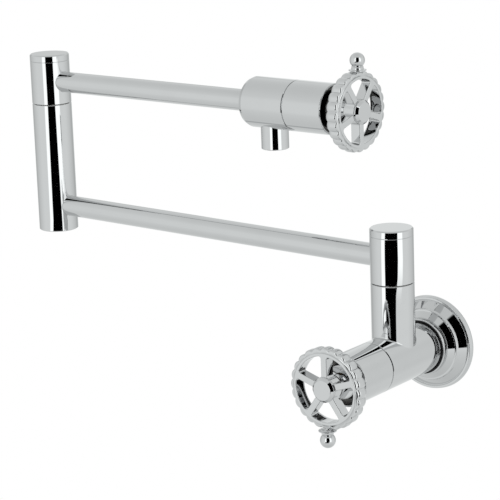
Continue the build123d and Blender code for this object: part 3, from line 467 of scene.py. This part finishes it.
def window_loops(rim, hub):
    """Edge of one window, and a loop beside it from radius rim to radius hub, sampled alike.
    The edge is an arc on the rim, a spoke's side and an arc on the hub, joined by rounded
    corners: a corner's point is its centre plus the corner radius times a direction that
    turns evenly."""
    spoke = np.array([math.cos(half_window), math.sin(half_window)])
    side = np.array([math.sin(half_window), -math.cos(half_window)])

    def corner(radius):
        reach = math.sqrt(radius ** 2 - (spoke_half + corner_r) ** 2)
        middle = reach * spoke + (spoke_half + corner_r) * side
        return middle, reach, math.atan2(middle[1], middle[0])

    def bend(middle, start, stop, share):
        return middle + on_circle(corner_r, start + (stop - start) * share)

    outer, reach_out, turn_out = corner(window_r - corner_r)
    inner, reach_in, turn_in = corner(hub_r + corner_r)
    flat_side = half_window + math.pi / 2
    a = np.linspace(0, half_window, window_steps // 2 + 1)
    share = np.clip((a - turn_out) / (half_window - turn_out), 0, 1)
    edge_rim = np.where((a < turn_out)[:, None], on_circle(window_r, a),
                        bend(outer, turn_out, flat_side, share / 2))
    reach = rim + (hub - rim) * np.linspace(0, 1, window_steps // 3 + 1)[1:-1]
    late = np.clip((rim - reach) / (rim - reach_out), 0, 1)
    early = np.clip((reach_in - reach) / (reach_in - hub), 0, 1)
    straight = reach[:, None] * spoke + spoke_half * side
    edge_spoke = np.where((reach < reach_in)[:, None],
                          bend(inner, flat_side, turn_in + math.pi, early / 2), straight)
    edge_spoke = np.where((reach > reach_out)[:, None],
                          bend(outer, turn_out, flat_side, 0.5 + late / 2), edge_spoke)
    b = np.linspace(half_window, 0, window_steps // 4 + 1)
    share = np.clip((half_window - b) / (half_window - turn_in), 0, 1)
    edge_hub = np.where((b < turn_in)[:, None], on_circle(hub_r, b),
                        bend(inner, flat_side, turn_in + math.pi, 0.5 + share / 2))
    edge = np.vstack([edge_rim, edge_spoke, edge_hub])
    beside = np.vstack([on_circle(rim, a), reach[:, None] * spoke, on_circle(hub, b)])
    mirror = np.array([1, -1])
    return (np.vstack([edge, edge[-2:0:-1] * mirror]),
            np.vstack([beside, beside[-2:0:-1] * mirror]))


def handwheel_surface():
    """The casting in its own frame (x, y, w), first spoke along +y. The rim's rows are carried
    round. A knuckle's radius at an angle d from its middle is knuckle_at cos d plus the root
    of knuckle_r squared less (knuckle_at sin d) squared, and a row falls below it by the
    crowning. Each window is a stack of loops, and the hub is a turned line."""
    columns = window_steps * windows
    a = np.linspace(0, 2 * math.pi, columns, endpoint=False)
    pitch = 2 * math.pi / knuckles
    d = (a - math.pi / 2 + pitch / 2) % pitch - pitch / 2
    crest = knuckle_at * np.cos(d) + np.sqrt(knuckle_r ** 2 - (knuckle_at * np.sin(d)) ** 2)
    from_seat = (a - math.pi / 2 - seat_turn + math.pi) % (2 * math.pi) - math.pi
    seat = np.minimum(crest, seat_r / np.cos(from_seat))
    crest = np.where(np.abs(from_seat) < seat_half, seat, crest)

    def row(radius, w):
        return np.stack([np.broadcast_to(radius, columns), np.full(columns, w)], -1)

    q = np.linspace(0, math.pi / 2, 7)
    crown = np.linspace(0, math.pi / 2, 9)
    shell = [row(face_r, wheel_face), row(ring_r - ring_soft - 0.1, wheel_face)]
    shell += [row(ring_r - ring_soft * (1 - math.sin(v)),
                  wheel_face - ring_soft * (1 - math.cos(v))) for v in q]
    shell += [row(ring_r, knuckle_front)]
    (front_fall, front_deep), (back_fall, back_deep) = front_crown, back_crown
    knuckle_rows = [(front_fall * (1 - math.sin(v)), knuckle_front - front_deep * (1 - math.cos(v)))
                    for v in crown]
    knuckle_rows += [(0.0, knuckle_front - 3.0), (0.0, rim_back + back_deep + 0.4)]
    knuckle_rows += [(back_fall * (1 - math.cos(v)), rim_back + back_deep * (1 - math.sin(v)))
                     for v in crown]
    shell += [row(np.maximum(crest - fall, ring_r), w) for fall, w in knuckle_rows]
    shell += [row(window_r + 0.6, rim_back), row(window_r + 0.2, rim_back + 0.12),
              row(window_r, rim_back + 0.45), row(window_r, spoke_back)]
    shell = np.stack(shell)
    rim = np.concatenate([shell[..., :1] * on_circle(1, a), shell[..., 1:]], -1)
    pieces = [(rim.reshape(-1, 3), grid_faces(len(shell), columns))]

    # windows: from the front face over a rounded edge, down the wall, and over the back
    edge, front_loop = window_loops(face_r, hub_face_r)
    back_loop = window_loops(window_r, hub_r)[1]
    normal = np.roll(edge, -1, 0) - np.roll(edge, 1, 0)
    normal = np.stack([normal[:, 1], -normal[:, 0]], -1)
    normal = normal / np.linalg.norm(normal, axis=1, keepdims=True)
    layers = [(front_loop, wheel_face), (edge + normal * (window_soft + 0.06), wheel_face)]
    layers += [(edge + normal * window_soft * (1 - math.sin(v)),
                wheel_face - window_soft * (1 - math.cos(v))) for v in q]
    layers += [(edge, wheel_face - window_soft - 0.06), (edge, spoke_back + 0.06),
               (edge, spoke_back), (back_loop, spoke_back)]
    window = np.stack([np.concatenate([xy, np.full((len(xy), 1), w)], 1) for xy, w in layers])
    for k in range(windows):
        turn_by = math.pi / 2 - half_window - k * 2 * half_window
        cosine, sine = math.cos(turn_by), math.sin(turn_by)
        spin = np.array([[cosine, sine], [-sine, cosine]])
        spun = np.concatenate([window[..., :2] @ spin, window[..., 2:]], -1)
        pieces.append((spun.reshape(-1, 3), grid_faces(len(window), window.shape[1])))

    # hub: a closed front, and behind it the step, the barrel and the bore for the stem
    hub_columns = window_steps // 2 * windows
    b = np.linspace(0, 2 * math.pi, hub_columns, endpoint=False)
    barrel_r, barrel_end, bore_r, bore_end = 6.8, 38.6, 4.1, 52.3
    front_line = ((hub_face_r, wheel_face), (0.0, wheel_face))
    back_line = (
        (hub_r, spoke_back), (hub_r, spoke_back - 1.6), (hub_r - 0.1, spoke_back - 1.9),
        (hub_r - 0.4, spoke_back - 2.0), (barrel_r + 0.06, spoke_back - 2.0),
        (barrel_r, spoke_back - 2.06), (barrel_r, barrel_end + 0.4),
        (barrel_r - 0.1, barrel_end + 0.1), (barrel_r - 0.4, barrel_end), (bore_r, barrel_end),
        (bore_r, bore_end), (0.0, bore_end))
    for line in (front_line, back_line):
        line = np.array(line)
        heights = np.broadcast_to(line[:, None, 1:], (len(line), hub_columns, 1))
        hub = np.concatenate([line[:, None, :1] * on_circle(1, b), heights], -1)
        pieces.append((hub.reshape(-1, 3), grid_faces(len(line), hub_columns)))
    firsts = np.cumsum([0] + [len(points) for points, _ in pieces[:-1]])
    return (np.vstack([points for points, _ in pieces]),
            np.vstack([faces + first for (_, faces), first in zip(pieces, firsts)]))


cast_chrome = finish("cast_chrome_plate", handled, (0.67, 0.675, 0.68), 1.0, 0.02, 0.04, 0.25)
wheel_points, wheel_faces = handwheel_surface()
for valve, (foot, along, across, over), _ in valves:
    placed = foot + wheel_points @ np.stack([across, over, along])
    put(f"{valve}_wheel_casting", placed * mm, wheel_faces, [cast_chrome],
        f"{valve}_wheel", None, [f"{valve}_handwheel"])

# ---- hub buttons --------------------------------------------------------------------
# A plain round button of plated brass closes each hub, over the screw that holds the wheel.
# Its edge is turned to a slope, and its shank is pressed into the hub.
button_corners = [
    (0.0, 58.2, 0), (6.05, 58.2, 0.2), (6.05, 60.12, 0), (9.05, 60.12, 0.15), (9.05, 61.2, 0.4),
    (7.15, 63.1, 0.5), (0.0, 63.1, 0)]
for valve, axis, _ in valves:
    turned(f"{valve}_button", rounded_line(button_corners, False), False, axis, [chrome],
           f"{valve}_wheel", [f"{valve}_hub_button"], steps=240)

# ---- finials ------------------------------------------------------------------------
# A turned and plated ball on a waisted neck and a flat collar stands on a flat of each rim,
# opposite a spoke. Its stud is pressed into the rim.
finial_back, ball_r, ball_at = 2.8, 5.6, 37.6    # behind the face, size, distance from the stem
finial_corners = [
    (0.0, 24.2, 0), (1.5, 24.2, 0.2), (1.5, 29.22, 0), (4.9, 29.22, 0), (5.3, 29.9, 0.2),
    (6.5, 30.15, 0.2), (6.5, 30.9, 0.4), (4.6, 31.1, 0.25), (4.3, 33.4, 1.2)]
ball = np.linspace(math.radians(-49), math.pi / 2, 40)
ball_line = np.stack([ball_r * np.cos(ball), ball_at + ball_r * np.sin(ball)], -1)
ball_line[-1, 0] = 0.0
finial_line = np.vstack([rounded_line(finial_corners, False), ball_line])
for valve, (foot, along, across, over), _ in valves:
    finial_axis = (foot + (wheel_face - finial_back) * along, -over, along, across)
    turned(f"{valve}_finial_ball", finial_line, False, finial_axis, [chrome],
           f"{valve}_wheel", [f"{valve}_finial"], steps=160)

# ---- inlet thread -------------------------------------------------------------------
# The 1/2 in female pipe thread is cut into the brass at the wall end of the valve body,
# where the supply pipe screws in. It is seen only from behind.
brass = finish("turned_brass", handled, (0.72, 0.52, 0.24), 1.0, 0.22, 0.15, 0.2)
thread_pitch, thread_depth, thread_crest = 1.814, 0.5, 9.25
thread_start, thread_end, thread_outside = 0.2, 16.3, 9.88


def inlet_thread_surface():
    """A sleeve in the bore: its inner radius at height h and angle a is the crest radius plus
    the thread's depth times a triangle wave of h / pitch - a / 360 degrees."""
    columns, rows_a_turn = 144, 14
    a = np.linspace(0, 2 * math.pi, columns, endpoint=False)
    h = np.linspace(thread_start, thread_end, int(thread_end / thread_pitch * rows_a_turn))[:, None]
    wave = np.abs(2 * ((h / thread_pitch - a / (2 * math.pi)) % 1) - 1)
    inside = thread_crest + thread_depth * wave
    rows = np.stack([inside, np.broadcast_to(h, inside.shape)], -1)
    ends = np.array([[thread_end], [thread_start]]) + np.zeros(columns)
    wall = np.stack([np.full((2, columns), thread_outside), ends], -1)
    shell = np.vstack([rows, wall])
    ring = np.cos(a)[:, None] * right_x + np.sin(a)[:, None] * up_z
    return shell[..., 1:] * room + shell[..., :1] * ring, grid_faces(len(shell), columns, True)


thread_points, thread_faces = inlet_thread_surface()
put("inlet_thread", thread_points.reshape(-1, 3) * mm, thread_faces, [brass], "wall_body")

# ---- the other fittings -------------------------------------------------------------
# Posts, arms, caps and bodies keep their CAD shapes. Outer pieces are chrome plated brass.
# Inside are bare brass, stainless steel, alumina discs, rubber rings and nylon washers.
steel = finish("stainless_steel", handled, (0.58, 0.57, 0.55), 1.0, 0.26, 0.12, 0.2)
ceramic = finish("alumina", moulded, (0.78, 0.77, 0.73), 0.0, 0.18, 0.1, 0.05, 0.3)
nylon = finish("white_nylon", moulded, (0.74, 0.74, 0.71), 0.0, 0.38, 0.15, 0.15)
acetal = finish("grey_acetal", moulded, (0.32, 0.33, 0.34), 0.0, 0.42, 0.15, 0.2)
slot_finish = {"chrome": chrome, "brass": brass, "stainless": steel, "rubber": rubber,
               "ceramic": ceramic, "white_polymer": nylon, "grey_polymer": acetal}
slot_of = {part["node"]: part["material_slot"] for part in frame["record"]["subparts"]}
for name, node in frame["nodes"].items():
    node.data.materials.clear()
    node.data.materials.append(slot_finish[slot_of[name]])
